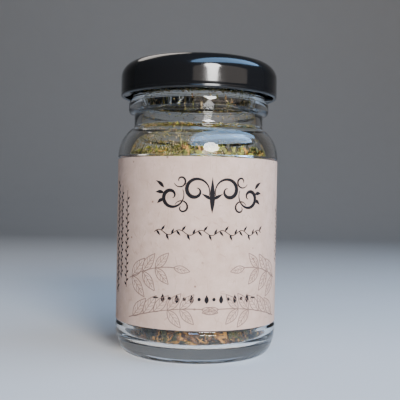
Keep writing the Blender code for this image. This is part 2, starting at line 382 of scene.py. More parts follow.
def paper_finish(colour):
    """Uncoated kraft paper: cloudy, grainy, with slanted fibres and rare dark specks."""
    paper = Nodes("kraft_label_paper")
    place = paper.place()
    cloud = paper.noise(place, 260.0, detail=5.0, rough=0.6)
    grain = paper.noise(place, 2600.0, detail=3.0, rough=0.7)
    deep = toned(colour, 0.86, 0.83, 0.8)
    pale = toned(colour, 1.07, 1.08, 1.09)
    tone = paper.mix(paper.span(cloud, 0.3, 0.7), deep, pale)
    tone = paper.mix(paper.span(grain, 0.35, 0.75, 0.0, 0.35), tone, deep)
    slanted = paper.place((1.0, 1.0, 0.34))
    fibre = paper.cells(slanted, 520.0, "DISTANCE_TO_EDGE")
    thread = paper.span(fibre.outputs["Distance"], 0.0, 0.045, 0.5, 0.0)
    patch = paper.span(paper.noise(place, 420.0, detail=2.0), 0.5, 0.62)
    tone = paper.mix(paper.maths("MULTIPLY", thread, patch), tone, toned(colour, 0.62, 0.53, 0.46))
    specks = paper.cells(place, 460.0)
    near = paper.span(specks.outputs["Distance"], 0.1, 0.2, 1.0, 0.0)
    chosen = paper.add("ShaderNodeSeparateColor", {"Color": specks.outputs["Color"]})
    rare = paper.span(chosen.outputs[0], 0.9, 0.93)
    tone = paper.mix(paper.maths("MULTIPLY", near, rare), tone, toned(colour, 0.42, 0.34, 0.3))
    dull = paper.span(grain, 0.3, 0.7, 0.78, 0.92)
    paper.surface(base_color=tone, roughness=dull, specular_ior_level=0.3)
    paper.bump(paper.maths("ADD", grain, cloud), 0.35, 0.00005)
    return paper.material


def ink_finish(name, colour, roughness):
    """Printing ink that is a little worn in patches."""
    ink = Nodes(name)
    patch = ink.noise(ink.place(), 1800.0, detail=3.0)
    worn = tuple(min(1.0, c * 1.35 + 0.003) for c in colour)
    tone = ink.mix(ink.span(patch, 0.4, 0.7), colour, worn)
    ink.surface(base_color=tone, roughness=roughness, specular_ior_level=0.2)
    return ink.material


def leaf_finish(name, colour, spread, shade_below=0.7):
    """Dry crushed leaf, blotched by spread, with painted shade low in the jar, as deep as shade_below."""
    leaf = Nodes(name)
    place = leaf.place()
    blotch = leaf.noise(place, 700.0, detail=4.0, rough=0.6)
    fine = leaf.noise(place, 3800.0, detail=3.0, rough=0.6)
    light = toned(colour, 1.0 + spread)
    tone = leaf.mix(leaf.span(blotch, 0.3, 0.7), toned(colour, 1.0 - spread), light)
    tone = leaf.mix(leaf.span(fine, 0.5, 0.75, 0.0, 0.5), tone, light)
    # Painted shade: the colour darkens towards the bottom of the jar, where the label shades the fill.
    height = leaf.add("ShaderNodeSeparateXYZ", {"Vector": place}).outputs["Z"]
    painted_low_shade = leaf.span(height, 0.011, 0.03, shade_below, 0.0)
    tone = leaf.mix(painted_low_shade, tone, toned(colour, 0.12))
    dull = leaf.span(fine, 0.3, 0.7, 0.6, 0.85)
    leaf.surface(base_color=tone, roughness=dull, specular_ior_level=0.25)
    leaf.bump(fine, 0.5, 0.0001)
    return leaf.material


def lacquer_finish(colour):
    """Gloss black lacquer with a faint orange peel, an uneven film and fine dust."""
    lacquer = Nodes("black_lacquered_tinplate")
    place = lacquer.place()
    peel = lacquer.noise(place, 900.0, detail=2.0)
    dust = lacquer.noise(place, 5200.0, detail=3.0, rough=0.7)
    film = lacquer.noise(place, 120.0, detail=4.0, rough=0.6)
    tone = lacquer.mix(lacquer.span(dust, 0.68, 0.8, 0.0, 0.06), colour, (0.16, 0.16, 0.17))
    lacquer.surface(base_color=tone, roughness=lacquer.span(film, 0.3, 0.75, 0.1, 0.2))
    lacquer.surface(specular_ior_level=0.35, coat_weight=0.35, coat_roughness=0.05)
    lacquer.bump(peel, 0.1, 0.00006)
    return lacquer.material


def seal_finish(colour):
    """Soft matt sealing compound."""
    seal = Nodes("plastisol")
    soft = seal.noise(seal.place(), 500.0, detail=3.0)
    tone = seal.mix(seal.span(soft, 0.3, 0.7), toned(colour, 0.92), colour)
    seal.surface(base_color=tone, roughness=seal.span(soft, 0.3, 0.7, 0.5, 0.65))
    seal.bump(soft, 0.2, 0.0001)
    return seal.material


def floor_finish(colour):
    """Plain matt floor."""
    floor = Nodes("pale_floor")
    fine = floor.noise(floor.place(), 40.0, detail=3.0)
    tone = floor.mix(floor.span(fine, 0.3, 0.7), toned(colour, 0.985), colour)
    floor.surface(base_color=tone, roughness=0.75)
    return floor.material


# Glass


def glass_profile():
    """The jar's section: from the floor's centre up the inside, over the rim and down the outside."""
    floor = [(0.0, FLOOR_Z), (9.0, FLOOR_Z - 0.2), (16.0, FLOOR_Z - 0.6)]
    heel_in = ellipse(CAVITY_R - CAVITY_HEEL, CAVITY_HEEL_Z, CAVITY_HEEL, CAVITY_HEEL, -90.0, 0.0, 22)
    wall = rows_between(CAVITY_R, 12.0, 58.0, 3.0) + [(CAVITY_R - 0.1, CAVITY_SHOULDER_Z)]
    shoulder_in = ellipse(
        CAVITY_SHOULDER_R, CAVITY_SHOULDER_Z, CAVITY_SHOULDER_OUT, CAVITY_SHOULDER_RISE, 4.0, 64.0, 24
    )
    neck_in = [(19.0, 70.4), (BORE_R, 72.0)] + rows_between(BORE_R, 74.0, 90.6, 1.5)
    rim = [(18.95, RIM_TOP - 0.3), (19.7, RIM_TOP), (20.9, RIM_TOP), (21.55, RIM_TOP - 0.4)]
    rim += rows_between(FINISH_R, 90.5, 88.0, 0.5)
    thread = rows_between(FINISH_R, THREAD_HIGH, THREAD_LOW, 0.13)
    bead = [(FINISH_R, 81.0), (22.5, 80.75), (BEAD_R, 79.9), (BEAD_R, 77.6), (22.4, 76.85)]
    neck = [(NECK_R, 76.4), (NECK_R, 72.8), (21.2, 71.9)]
    shoulder = ellipse(SHOULDER_R, SHOULDER_Z, BODY_R - SHOULDER_R, SHOULDER_RISE, 58.0, 0.0, 30)
    panel = [(PANEL_R, PANEL_HIGH)] + rows_between(PANEL_R, 60.0, 12.0, 4.0)
    panel += [(PANEL_R, PANEL_LOW), (BODY_R, 9.4)]
    heel = ellipse(HEEL_R, HEEL_Z, BODY_R - HEEL_R, 8.7, -8.0, -82.0, 24)
    stand = [(STAND_OUT_R, 0.0), (STAND_IN_R, 0.0), (19.8, 0.5), (13.0, 1.7), (0.0, PUSH_UP)]
    first = rounded(floor + heel_in + wall + shoulder_in + neck_in + rim, 0.3, 1)
    second = rounded(bead + neck + shoulder + panel + heel + stand, 0.35, 2)
    return thinned(first) + thread + thinned(second)


def glass_relief(r, a, z):
    """Thread ridges, two faint mould seams, a knurled foot and faintly wavy inner walls."""
    after_rim = np.arange(r.shape[0])[:, None] > np.argmax(z[:, 0])
    outside = (r > 20.9) & after_rim
    on_finish = outside & (z > 82.0) & (z < 88.0) & (np.abs(r - FINISH_R) < 0.02)
    for i in range(RIDGES):
        along = (np.degrees(a) - 360.0 / RIDGES * i) % 360.0
        under = RIDGE_Z + RIDGE_CLIMB_PER_DEG * along
        ends = step_up(along, 0.0, 4.0) * (1.0 - step_up(along, RIDGE_DEG - 4.0, RIDGE_DEG))
        across = step_up(z, under - 0.1, under + 0.3) * (1.0 - step_up(z, under + 0.75, under + 1.5))
        r = np.where(on_finish, r + RIDGE_OUT * ends * across, r)
    seam = np.exp(-((np.sin(a) / 0.012) ** 2)) * 0.02
    r = np.where(outside & (z > 1.5) & (z < 76.0) & (r < 25.9), r + seam, r)
    wave = 0.035 * np.sin(3.0 * a + 0.11 * z) + 0.025 * np.sin(5.0 * a - 0.23 * z + 1.0)
    inside = ~outside & (z > 9.0) & (z < 90.0) & (r > 15.0)
    r = np.where(inside, r + wave, r)
    knurl = 0.09 * (0.5 + 0.5 * np.cos(72.0 * a))
    foot = outside & (r < 22.6) & (z < 0.12)
    z = np.where(foot, z + knurl, z)
    return r, z


def make_glass(settings):
    """The clear glass jar."""
    skin = glass_finish(settings.glass_tint)
    return turned("glass_jar_looks", glass_profile(), 288, skin, glass_relief)


# Label and print


def label_point(s, z, r):
    """A point on the label from its distance along the paper, right of the front."""
    a = s / LABEL_R
    return (r * math.sin(a), -r * math.cos(a), z)


def make_label(settings):
    """The paper strip, with edges cut a little uneven and a faint ripple in its face."""
    draw = random.Random(3)
    phases = [draw.uniform(0.0, 6.28) for _ in range(3)]
    half = math.radians(360.0 - LABEL_GAP_DEG) / 2.0 * LABEL_R
    columns = 300
    rows = 26
    verts = []
    for face in (LABEL_R, LABEL_IN):
        for j in range(rows + 1):
            for i in range(columns + 1):
                s = -half + 2.0 * half * i / columns
                uneven = 0.012 * (math.sin(0.9 * s + phases[0]) + math.sin(2.3 * s + phases[1]))
                low = LABEL_LOW + LABEL_EDGE + uneven
                high = LABEL_HIGH - LABEL_EDGE - uneven
                z = low + (high - low) * j / rows
                ripple = 0.018 * math.sin(0.35 * s + 0.12 * z) * math.sin(0.21 * z + phases[2])
                r = face - 0.02 + (ripple if face == LABEL_R else 0.0)
                verts.append(label_point(s, z, r))
    width = columns + 1
    sheet = width * (rows + 1)
    faces = []
    for j in range(rows):
        for i in range(columns):
            p = j * width + i
            faces.append((p, p + 1, p + 1 + width, p + width))
            faces.append((sheet + p, sheet + p + width, sheet + p + 1 + width, sheet + p + 1))
    for i in range(columns):
        top = rows * width + i
        faces.append((i, sheet + i, sheet + i + 1, i + 1))
        faces.append((top, top + 1, sheet + top + 1, sheet + top))
    for j in range(rows):
        p = j * width
        q = p + columns
        faces.append((p, p + width, sheet + p + width, sheet + p))
        faces.append((q, sheet + q, sheet + q + width, q + width))
    label = mesh_object("paper_label_looks", verts, faces, [paper_finish(settings.paper_colour)])
    crisp = label.modifiers.new("Crisp edges", "EDGE_SPLIT")
    crisp.split_angle = math.radians(50.0)
    return label


def swelling(ends, middle, power=1.0, lean=1.0):
    """A stroke's width from 0 to 1: as wide as ends, and wider by middle between them."""

    def width(t):
        return ends + middle * math.sin(math.pi * min(1.0, t ** lean)) ** power

    return width


def placed(points, s, z, angle):
    """Points turned by an angle in degrees and moved to (s, z)."""
    cos_a = math.cos(math.radians(angle))
    sin_a = math.sin(math.radians(angle))
    return [(s + u * cos_a - v * sin_a, z + u * sin_a + v * cos_a) for u, v in points]


def curl(cx, cz, start_r, end_r, start_deg, end_deg, points, mirror):
    """A spiral as (s, z) points."""
    path = []
    for i in range(points):
        t = i / (points - 1)
        a = math.radians(start_deg + (end_deg - start_deg) * t)
        r = start_r + (end_r - start_r) * t
        path.append((mirror * (cx + r * math.cos(a)), cz + r * math.sin(a)))
    return path


class Print:
    """Thin ribbons of ink on the label, each a closed strip."""

    def __init__(self):
        self.verts = []
        self.faces = []

    def stroke(self, path, width):
        """A ribbon along a path of (s, z); width is a number or a function of 0 to 1."""
        corners = ((1, INK_OUT_R), (-1, INK_OUT_R), (-1, INK_IN_R), (1, INK_IN_R))
        points = np.asarray(path, dtype=float)
        run = np.gradient(points, axis=0)
        length = np.hypot(run[:, 0], run[:, 1])
        length[length == 0.0] = 1.0
        side = np.stack([-run[:, 1], run[:, 0]], axis=1) / length[:, None]
        first = len(self.verts)
        count = len(points)
        for i, (s, z) in enumerate(points):
            w = width(i / (count - 1)) if callable(width) else width
            ds, dz = side[i] * w / 2.0
            for sign, r in corners:
                self.verts.append(label_point(s + sign * ds, z + sign * dz, r))
        for i in range(count - 1):
            a = first + 4 * i
            for k in range(4):
                n = (k + 1) % 4
                self.faces.append((a + k, a + n, a + 4 + n, a + 4 + k))
        last = first + 4 * (count - 1)
        self.faces.append((first + 3, first + 2, first + 1, first))
        self.faces.append((last, last + 1, last + 2, last + 3))

    def blade(self, s, z, length, width, angle, bend=0.0):
        """A filled pointed leaf."""
        path = []
        for i in range(14):
            t = i / 13
            path.append((length * t, bend * length * math.sin(math.pi * t)))
        self.stroke(placed(path, s, z, angle), swelling(0.06, width, 1.2, 0.8))

    def outline_leaf(self, s, z, length, width, angle):
        """A leaf in outline with its midrib and three pairs of veins."""
        for side in (-1.0, 0.0, 1.0):
            path = []
            for i in range(15):
                t = i / 14.0
                u = length * t * (1.0 if side else 0.82)
                path.append((u, side * width / 2.0 * math.sin(math.pi * t ** 0.85)))
            self.stroke(placed(path, s, z, angle), GARLAND_LINE * (1.0 if side else 0.7))
        for k in range(3):
            root = length * (0.2 + 0.2 * k)
            reach = width * 0.36 * math.sin(math.pi * (0.3 + 0.2 * k))
            for side in (-1.0, 1.0):
                out = side * reach
                vein = [(root, 0.0), (root + 0.5 * reach, 0.55 * out), (root + 1.3 * reach, out)]
                self.stroke(placed(vein, s, z, angle), GARLAND_LINE * 0.5)

    def make(self, name, skin):
        return mesh_object(name, self.verts, self.faces, [skin], smooth=False)


def draw_scrolls(ink, mid):
    """Mirrored scrolls with small leaves, on both sides of an upright leaf."""
    swell = swelling(0.22, 0.95, 1.5)
    fine = swelling(0.16, 0.42)
    scrolls = (
        (4.9, 1.2, 4.3, 0.7, 215.0, -250.0, 60, swell),
        (12.2, -0.6, 4.0, 0.6, 150.0, 590.0, 60, swell),
        (8.9, -3.9, 2.3, 0.5, 20.0, 400.0, 40, fine),
        (9.4, 4.0, 2.1, 0.5, -20.0, -380.0, 40, fine),
    )
    for m in (-1.0, 1.0):
        for *shape, width in scrolls:
            ink.stroke(placed(curl(*shape, m), mid, SCROLL_Z, 0.0), width)
        for length, angle in ((3.4, 38.0), (2.8, 4.0), (2.6, -34.0)):
            heading = angle if m > 0.0 else 180.0 - angle
            ink.blade(mid + m * 14.6, SCROLL_Z + 0.2 + angle * 0.045, length, 1.0, heading, 0.08 * m)
    ink.blade(mid, SCROLL_Z - 5.4, 10.6, 1.5, 90.0)
    ink.blade(mid - 0.1, SCROLL_Z - 1.5, 3.6, 0.9, 150.0)
    ink.blade(mid + 0.1, SCROLL_Z - 1.5, 3.6, 0.9, 30.0)


def draw_vine(ink, mid):
    """A waving stem with small leaves above and below it."""

    def stem(t):
        return mid + VINE_LENGTH * (t - 0.5), VINE_Z + 0.75 * math.sin(math.tau * 5.5 * t)

    ink.stroke([stem(i / 120.0) for i in range(121)], 0.24)
    for i in range(22):
        s, z = stem((i + 0.5) / 22.0)
        up = 1.0 if i % 2 else -1.0
        ink.blade(s, z, 1.9, 0.62, up * (52.0 if i % 4 < 2 else 66.0))


def draw_lozenges(ink, mid):
    """A row of lozenges and dots that ends in a dash on both sides."""
    middle = mid - 1.2
    for k in range(-6, 7):
        s = middle + 2.2 * k
        if k % 2:
            ink.stroke([(s + d, LOZENGE_Z) for d in (-0.5, -0.25, 0.25, 0.5)], swelling(0.35, 0.75))
        else:
            ink.blade(s, LOZENGE_Z - 1.3, 2.6, 1.25, 90.0)
    for m in (-1.0, 1.0):
        dash = [(middle + m * (14.6 + 2.0 * i / 7.0), LOZENGE_Z) for i in range(8)]
        ink.stroke(dash, swelling(0.16, 0.42))


def draw_columns(ink):
    """Upright columns of small leaves at the label's sides."""
    columns = (
        (-25.0, 22.5, 51.0, 1.25, 1.5),
        (-28.6, 25.0, 52.5, 1.1, 1.35),
        (-32.0, 20.0, 55.5, 1.05, 1.7),
        (35.0, 30.0, 47.0, 1.3, 1.5),
    )
    for s, low, high, pitch, size in columns:
        ink.stroke([(s, low - 0.6), (s, (low + high) / 2.0), (s, high + 0.6)], 0.16)
        for i in range(int((high - low) / pitch)):
            ink.blade(s, low + pitch * i, size, 0.52, 38.0 if i % 2 else 142.0)


def draw_garlands(faded):
    """Two sprigs of outlined leaves from each side of the label's foot, one above the other."""
    for side, root in ((-1.0, -23.0), (1.0, 32.0)):
        heading = 180.0 if side > 0.0 else 0.0
        for lift, reach, pairs in ((0.0, 25.0, 5), (12.0, 16.5, 3)):
            stem = []
            for i in range(40):
                t = i / 39.0
                stem.append((root - side * reach * t, GARLAND_Z + lift + 5.0 * math.sin(1.6 * t) - t))
            faded.stroke(stem, 0.26)
            for i in range(pairs):
                t = 0.1 + 0.82 * i / pairs
                s, z = stem[int(39 * t)]
                size = 8.2 * (1.0 - 0.35 * t)
                for up in (-1.0, 1.0):
                    past_edge = up < 0.0 and z - 0.8 * size < LABEL_LOW + 0.4
                    if not past_edge:
                        angle = heading - side * up * (47.0 + 4.0 * (i % 2))
                        faded.outline_leaf(s, z, size, size * 0.42, angle)
            s, z = stem[-1]
            faded.outline_leaf(s, z, 5.0, 2.1, heading + 12.0 * side)


def make_print(settings):
    """The label's black ornament and its faded garlands."""
    mid = settings.print_shift / MM
    ink = Print()
    draw_scrolls(ink, mid)
    draw_vine(ink, mid)
    draw_lozenges(ink, mid)
    draw_columns(ink)
    faded = Print()
    draw_garlands(faded)
    return (
        ink.make("label_ornament", ink_finish("black_label_ink", settings.ink_colour, 0.8)),
        faded.make("label_garland", ink_finish("brown_label_ink", settings.sprig_colour, 0.7)),
    )


# Herb


class Scraps:
    """Gathers leaf scraps and stem bits in one mesh, each with the number of its finish."""

    def __init__(self, seed):
        self.draw = random.Random(seed)
        self.verts = []
        self.faces = []
        self.slots = []

    def put(self, points, faces, slot, origin, axes):
        """Add a scrap along its axes, pushed in where it would pass the glass or the floor."""
        first = len(self.verts)
        along, across, up = axes
        for u, v, w in points:
            p = origin + along * u + across * v + up * w
            z = max(p.z, HERB_FLOOR)
            edge = cavity_radius(z) - 0.1
            r = math.hypot(p.x, p.y)
            if r > edge:
                p.x *= edge / r
                p.y *= edge / r
            self.verts.append((p.x, p.y, z))
        for face in faces:
            self.faces.append(tuple(first + i for i in face))
            self.slots.append(slot)

    def leaf(self, length, width):
        """A dried scrap: a narrow blade that is curled across, arched along and often broken off."""
        draw = self.draw
        fold = draw.uniform(0.15, 0.9)
        arch = draw.uniform(-0.12, 0.22) * length
        twist = draw.uniform(-0.9, 0.9)
        sway = draw.uniform(-0.18, 0.18) * length
        cut_low = draw.uniform(0.0, 0.35) if draw.random() < 0.6 else 0.0
        cut_high = draw.uniform(0.0, 0.35) if draw.random() < 0.6 else 0.0
        points = []
        rows = 6
        for i in range(rows):
            t = i / (rows - 1)
            grown = cut_low + (1.0 - cut_low - cut_high) * t
            w = width / 2.0 * max(0.1, math.sin(math.pi * grown ** 0.85)) * draw.uniform(0.82, 1.12)
            turn = twist * (t - 0.5)
            rise = arch * (1.0 - (2.0 * t - 1.0) ** 2)
            drift = sway * math.sin(math.pi * t)
            for c in (-1.0, 0.0, 1.0):
                v = c * w * (1.0 - 0.25 * fold)
                u = fold * w * abs(c) + draw.uniform(-0.06, 0.06)
                points.append((
                    length * (t - 0.5) + draw.uniform(-0.05, 0.05) * length,
                    drift + v * math.cos(turn) - u * math.sin(turn),
                    rise + v * math.sin(turn) + u * math.cos(turn),
                ))
        faces = []
        for i in range(rows - 1):
            for c in (0, 1):
                p = 3 * i + c
                faces.append((p, p + 1, p + 4, p + 3))
        return points, faces

    def stalk(self, length, radius):
        """A bit of stem: a bowed five-sided rod, thinner to one end."""
        draw = self.draw
        bow = draw.uniform(-0.12, 0.12) * length
        points = []
        for i in range(5):
            t = i / 4.0
            thick = radius * (1.0 - 0.3 * t) * draw.uniform(0.9, 1.1)
            for k in range(5):
                a = math.tau * k / 5.0
                points.append((
                    length * (t - 0.5),
                    bow * math.sin(math.pi * t) + thick * math.cos(a),
                    thick * math.sin(a),
                ))
        faces = [(4, 3, 2, 1, 0), (20, 21, 22, 23, 24)]
        for i in range(4):
            low = 5 * i
            for k in range(5):
                n = (k + 1) % 5
                faces.append((low + k, low + n, low + 5 + n, low + 5 + k))
        return points, faces

    def lying(self, normal, lean, bank):
        """Axes of a scrap that lies across a normal, spun at random and tipped a little."""
        draw = self.draw
        return loose_axes(normal, draw.uniform(0.0, math.tau), draw.gauss(0.0, lean), draw.gauss(0.0, bank))

    def one(self, origin, axes, size, weights, stalks=0.07):
        """Add one leaf scrap, or with the chance stalks one bit of stem."""
        draw = self.draw
        if draw.random() < stalks:
            points, faces = self.stalk(size * draw.uniform(1.0, 1.7), draw.uniform(0.14, 0.3))
            slot = draw.choices((1, 2, 3), (2, 2, 5))[0]
        else:
            points, faces = self.leaf(size, size * draw.uniform(0.2, 0.46))
            slot = draw.choices(range(5), weights)[0]
        self.put(points, faces, slot, origin, axes)

    def make(self, name, skins):
        return mesh_object(name, self.verts, self.faces, skins, self.slots)


def tipped(a, b, angle):
    """Two axes turned in their own plane."""
    return a * math.cos(angle) + b * math.sin(angle), b * math.cos(angle) - a * math.sin(angle)


def loose_axes(normal, spin, lean, bank):
    """Axes of a scrap lying across a normal: spun in the plane, then tipped."""
    up = normal.normalized()
    side = up.cross(Vector((0.0, 0.0, 1.0)))
    if side.length < 0.05:
        side = Vector((1.0, 0.0, 0.0))
    side.normalize()
    other = up.cross(side)
    along = side * math.cos(spin) + other * math.sin(spin)
    across = up.cross(along)
    along, up = tipped(along, up, lean)
    across, up = tipped(across, up, bank)
    return along, across, up


def herb_skins(settings):
    """The finishes that a scrap's number picks from: five for leaf and stem, and one for dust."""
    return [
        leaf_finish("leaf_olive", settings.olive, 0.4),
        leaf_finish("leaf_yellow_green", settings.yellow_green, 0.32),
        leaf_finish("leaf_brown", settings.brown, 0.4, 0.25),
        leaf_finish("leaf_straw", settings.straw, 0.3, 0.1),
        leaf_finish("leaf_dark", settings.shade, 0.5),
        leaf_finish("leaf_dust", settings.dust, 0.3, 0.0),
    ]


def make_herb_core(settings):
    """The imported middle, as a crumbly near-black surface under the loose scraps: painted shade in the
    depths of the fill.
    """
    draw = random.Random(21)
    around = 150
    turns = [math.tau * i / around for i in range(around)]
    path = [(6.0, 6.0), (12.0, 5.8), (16.5, 5.6), (19.4, 5.7), (20.9, 6.5), (21.6, 8.0)]
    path += [(21.8, z) for z in np.arange(9.5, 60.0, 1.5)]
    path += [(21.5, 61.0), (20.9, 62.0)]
    verts = [(0.0, 0.0, 6.1)]
    for r, z in path:
        for a in turns:
            out = r + draw.uniform(-0.35, 0.3)
            verts.append((out * math.cos(a), out * math.sin(a), z + draw.uniform(-0.3, 0.3)))
    for r in np.arange(20.0, 1.0, -1.0):
        for a in turns:
            x = r * math.cos(a)
            y = r * math.sin(a)
            verts.append((x, y, herb_surface(x, y) - 0.75 + draw.uniform(-0.35, 0.35)))
    verts.append((0.0, 0.0, herb_surface(0.0, 0.0) - 0.7))
    rows = (len(verts) - 2) // around
    top = 1 + (rows - 1) * around
    faces = []
    for i in range(around):
        n = (i + 1) % around
        faces.append((0, 1 + n, 1 + i))
        for j in range(rows - 1):
            low = 1 + j * around
            faces.append((low + i, low + n, low + around + n, low + around + i))
        faces.append((top + i, top + n, len(verts) - 1))
    # Its near-black colour is painted shade between and under the scraps.
    skin = leaf_finish("leaf_packed", settings.packed_shade, 0.55)
    return mesh_object("dried_tarragon_core", verts, faces, [skin], smooth=False)


def make_wall_scraps(settings):
    """Scraps pressed against the glass, below the label, above it and in the gap at the back."""
    heap = Scraps(31)
    draw = heap.draw
    gap_start = math.radians(73.0)
    gap_end = math.radians(107.0)
    # The zone below the label picks dark and brown scraps more often than the zones above it: painted
    # shade, darker towards the bottom of the fill.
    zones = (
        (1900, 5.2, 12.0, 0.0, math.tau, (22, 6, 30, 15, 30)),
        (1300, 58.5, 64.2, 0.0, math.tau, (34, 32, 10, 8, 16)),
        (1100, 12.0, 60.0, gap_start, gap_end, (32, 20, 20, 12, 16)),
        (300, 12.0, 60.0, 0.0, math.tau, (32, 22, 20, 12, 14)),
    )
    for count, low, high, start, end, weights in zones:
        for _ in range(count):
            a = draw.uniform(start, end)
            z = draw.uniform(low, high)
            r = cavity_radius(z) - 0.12 - draw.random() * 1.5
            size = draw.choice((1.1, 1.5, 2.0, 2.6, 3.3, 4.4)) * draw.uniform(0.8, 1.2)
            normal = Vector((math.cos(a), math.sin(a), -0.9 if z < 6.6 else 0.0))
            axes = heap.lying(normal, 0.28, 0.5)
            heap.one(Vector((r * math.cos(a), r * math.sin(a), z)), axes, size, weights)
    return heap.make("dried_tarragon_wall", herb_skins(settings))


def make_top_scraps(settings):
    """Loose curled scraps over the heap's top, and a layer on the floor under it."""
    heap = Scraps(47)
    draw = heap.draw
    up = Vector((0.0, 0.0, 1.0))
    count = settings.top_scraps
    for i in range(count):
        r = 22.2 * math.sqrt((i + 0.5) / count)
        a = GOLDEN_ANGLE * i
        x = r * math.cos(a) + draw.gauss(0.0, 0.5)
        y = r * math.sin(a) + draw.gauss(0.0, 0.5)
        size = draw.choice((1.6, 2.2, 2.8, 3.4, 4.2, 5.4)) * draw.uniform(0.8, 1.2)
        z = herb_surface(x, y) - 0.3 + abs(draw.gauss(0.0, 0.45))
        axes = heap.lying(up, 0.3, 0.5)
        heap.one(Vector((x, y, z)), axes, size, (30, 42, 11, 9, 8), 0.05)
    count = 650
    for i in range(count):
        r = 20.0 * math.sqrt((i + 0.5) / count)
        a = GOLDEN_ANGLE * i
        z = 5.45 + abs(draw.gauss(0.0, 0.2))
        axes = heap.lying(-up, 0.06, 0.12)
        size = draw.uniform(1.4, 4.2)
        heap.one(Vector((r * math.cos(a), r * math.sin(a), z)), axes, size, (28, 16, 28, 15, 13))
    return heap.make("dried_tarragon_top", herb_skins(settings))


def dust_spot(draw):
    """Angle, height and size of a speck: on the neck, in one of two rings, or on the shoulder."""
    kind = draw.random()
    a = draw.uniform(0.0, math.tau)
    size = 0.08 + 0.3 * draw.random() ** 3.0
    if kind < 0.3:
        return a, draw.uniform(74.0, 90.4), size * 1.2
    if kind < 0.44:
        return a, draw.gauss(71.7, 0.3), size * 1.5
    if kind < 0.6:
        return a, draw.gauss(82.0, 0.35), size * 1.5
    z = 62.5 + 8.0 * draw.random() ** 1.3
    if draw.random() < 0.75:
        a = draw.gauss(math.radians(234.0), math.radians(28.0))
    return a, z, size * 0.85


def make_dust(settings):
    """Fine herb dust that clings to the inside of the shoulder and the neck."""
    points = ((-1.0, -0.3, 0.0), (0.1, -0.6, 0.0), (1.2, 0.1, 0.0), (0.0, 0.6, 0.0), (0.1, 0.0, -0.45))
    sides = ((0, 1, 2, 3), (1, 0, 4), (2, 1, 4), (3, 2, 4), (0, 3, 4))
    heap = Scraps(59)
    draw = heap.draw
    for _ in range(settings.dust_specks):
        a, z, size = dust_spot(draw)
        wall = cavity_radius(z) if z < 69.5 else BORE_R + max(0.0, 71.6 - z) * 0.35
        r = wall - 0.12
        centre = Vector((r * math.cos(a), r * math.sin(a), z))
        out = Vector((math.cos(a), math.sin(a), 0.0))
        along, across, up = loose_axes(out, draw.uniform(0.0, 3.1), 0.0, 0.0)
        first = len(heap.verts)
        for u, v, w in points:
            heap.verts.append(tuple(centre + (along * u + across * v + up * w) * size))
        for side in sides:
            heap.faces.append(tuple(first + i for i in side))
            heap.slots.append(draw.choices((0, 1, 3, 5), (3, 3, 1, 4))[0] if size > 0.13 else 5)
    return heap.make("dried_tarragon_dust", herb_skins(settings))


# Lid and seal


def lid_profile():
    """The lid's section: over the sunk top, down the outside, round the curl and back up inside."""
    round_r = LID_R - LID_ROUND
    round_z = LID_TOP - LID_ROUND
    under_z = LID_TOP - LID_SUNK - LID_SHEET
    top = [(0.0, LID_TOP - LID_SUNK), (LID_SUNK_R, LID_TOP - LID_SUNK), (LID_RING_R, LID_TOP)]
    outer = ellipse(round_r, round_z, LID_ROUND, LID_ROUND, 90.0, 0.0, 26)
    outer += rows_between(LID_R, LID_TOP - 5.5, 84.2, 0.6) + [(LID_R, 83.6), (LID_R - 0.06, 83.3)]
    roll = ellipse(LID_R - CURL_R, CURL_Z, CURL_R, CURL_R, 30.0, -250.0, 26)
    inner = [(LID_R - CURL_R, 83.6)]
    inner += ellipse(round_r, round_z, LID_ROUND - LID_SHEET, LID_ROUND - LID_SHEET, 0.0, 90.0, 20)
    under = [(LID_RING_R, LID_TOP - LID_SHEET), (LID_SUNK_R, under_z), (0.0, under_z)]
    return rounded(top, 0.7, 3) + outer + roll + inner + rounded(under, 0.5, 2)


def make_lugs(skin):
    """Four lugs that reach in from the curl, each a flattened rod that tapers to its ends."""
    stations = 15
    verts = []
    faces = []
    for i in range(LUGS):
        first = len(verts)
        for k in range(stations):
            t = k / (stations - 1)
            a = math.radians(360.0 / LUGS * i + 15.0 + LUG_DEG * (t - 0.5))
            inset = 1.6 * abs(2.0 * t - 1.0) ** 5
            middle = LID_R - 1.0 - LUG_DEPTH / 2.0 + inset / 2.0
            for j in range(LUG_SIDES):
                c = math.tau * j / LUG_SIDES
                r = middle + (LUG_DEPTH / 2.0 + 0.3 - inset / 2.0) * math.cos(c)
                verts.append((r * math.cos(a), r * math.sin(a), CURL_Z + 0.4 * math.sin(c)))
        for k in range(stations - 1):
            low = first + LUG_SIDES * k
            faces += ring_faces(low, low + LUG_SIDES, LUG_SIDES)
        faces.append(tuple(first + j for j in range(LUG_SIDES)))
        last = first + LUG_SIDES * (stations - 1)
        faces.append(tuple(last + j for j in reversed(range(LUG_SIDES))))
    return mesh_object("lid_lugs_looks", verts, faces, [skin])


def make_lid(settings):
    """The lid's shell and its lugs."""
    skin = lacquer_finish(settings.lacquer)
    return turned("lid_shell_looks", lid_profile(), 256, skin), make_lugs(skin)


def make_seal(settings):
    """The ring of sealing compound, as a flat rounded ring."""
    low = SEAL_BOX[0][2]
    high = SEAL_BOX[1][2]
    profile = ellipse(SEAL_R, (low + high) / 2.0, 1.74, (high - low) / 2.0, 90.0, -270.0, 41)[:-1]
    return turned("lid_seal_looks", profile, 160, seal_finish(settings.seal_colour), closed=True)


# Stage


def make_floor(settings):
    """A pale floor that sweeps up behind."""
    path = [(-STAGE_HALF, 0.0), (SWEEP_START, 0.0)]
    for i in range(13):
        a = math.radians(90.0 * i / 12.0)
        path.append((SWEEP_START + SWEEP_R * math.sin(a), SWEEP_R - SWEEP_R * math.cos(a)))
    path.append((SWEEP_START + SWEEP_R, BACKDROP_TOP))
    verts = []
    for y, z in path:
        verts += [(-STAGE_HALF, y, z), (STAGE_HALF, y, z)]
    faces = [(2 * i, 2 * i + 1, 2 * i + 3, 2 * i + 2) for i in range(len(path) - 1)]
    return mesh_object("floor", verts, faces, [floor_finish(settings.floor_colour)])


